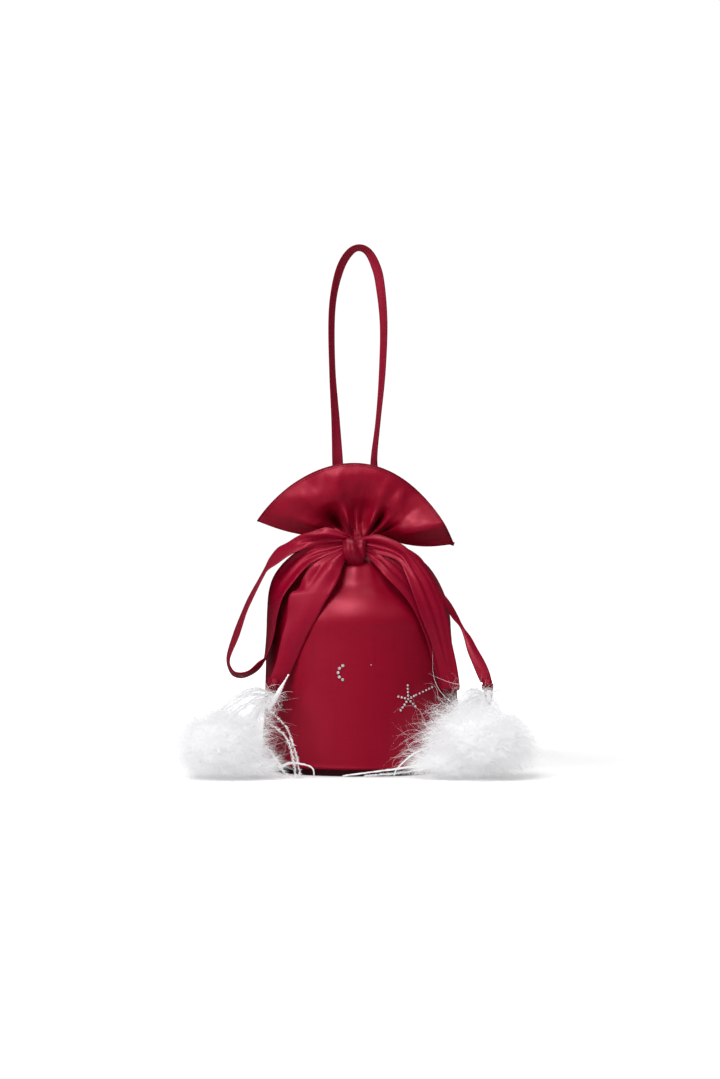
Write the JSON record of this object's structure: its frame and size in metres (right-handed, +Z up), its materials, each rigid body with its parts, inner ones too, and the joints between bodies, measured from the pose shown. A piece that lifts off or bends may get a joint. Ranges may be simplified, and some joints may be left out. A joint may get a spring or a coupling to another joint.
{
  "type": "drawstring gift sack",
  "caption": "Round satin drawstring sack on a flat base, with a tied sash bow, fanned mouth ruffle, looped strap, feather plumes and small stones.",
  "frame": {"origin": "centre of the base on the ground", "axes": "+Z up, -Y the front with the knot, +X to the right seen from the front"},
  "size_m": [0.24, 0.182, 0.3395],
  "materials": {
    "satin": "satin weave, wine red",
    "satin_dark": "dark woven strip",
    "lining": "matt lining cloth",
    "board": "plain grey board",
    "feather": "soft white down",
    "stone": "cut clear stones with a foil back"
  },
  "bodies": {
    "sack": {"base_cover": "satin_dark", "base_board": "board", "body_wall": "satin", "body_stiffener": "board", "lining": "lining", "neck_gather": "satin", "sash_neck_wrap": "satin", "bow_knot": "satin", "ruffle_back": "satin", "mouth_seam_tab": "satin", "handle_anchor_left": "satin", "handle_anchor_right": "satin", "stones_star": "stone", "stones_crescent": "stone", "stones_scatter": "stone"},
    "ruffle_front": {"ruffle_front": "satin"},
    "handle": {"handle_strap": "satin"},
    "loop_left": {"bow_loop_left": "satin"},
    "loop_right": {"bow_loop_right": "satin"},
    "tail_left": {"tail_left": "satin"},
    "tail_right": {"tail_right": "satin"},
    "plume_left": {"plume_tie_left": "satin", "plume_left": "feather"},
    "plume_right": {"plume_tie_right": "satin", "plume_right": "feather"}
  },
  "joints": [
    {"name": "handle_swing", "type": "hinge", "parent": "sack", "child": "handle", "pos_m": [-0.004, 0.005, 0.2008], "axis": [1, 0, 0], "range_deg": [-75, 75], "stiffness_Nm_per_rad": 0.006},
    {"name": "mouth_open", "type": "hinge", "parent": "sack", "child": "ruffle_front", "pos_m": [0, -0.0095, 0.1505], "axis": [1, 0, 0], "range_deg": [0, 22], "stiffness_Nm_per_rad": 0.006, "springref_deg": -11.46},
    {"name": "loop_left_swing", "type": "hinge", "parent": "sack", "child": "loop_left", "pos_m": [-0.005, -0.028, 0.146], "axis": [0, 1, 0], "range_deg": [0, 20]},
    {"name": "loop_right_swing", "type": "hinge", "parent": "sack", "child": "loop_right", "pos_m": [-0.005, -0.04, 0.146], "axis": [0, -1, 0], "range_deg": [0, 15]},
    {"name": "tail_left_swing", "type": "hinge", "parent": "sack", "child": "tail_left", "pos_m": [-0.005, -0.046, 0.143], "axis": [0, 1, 0], "range_deg": [0, 25]},
    {"name": "tail_right_swing", "type": "hinge", "parent": "sack", "child": "tail_right", "pos_m": [-0.005, -0.03, 0.143], "axis": [0, -1, 0], "range_deg": [0, 25]},
    {"name": "plume_left_swing", "type": "hinge", "parent": "tail_left", "child": "plume_left", "pos_m": [-0.0556, -0.0505, 0.058], "axis": [0, 1, 0], "range_deg": [0, 30]},
    {"name": "plume_right_swing", "type": "hinge", "parent": "tail_right", "child": "plume_right", "pos_m": [0.076, -0.0415, 0.058], "axis": [0, -1, 0], "range_deg": [0, 30]}
  ]
}
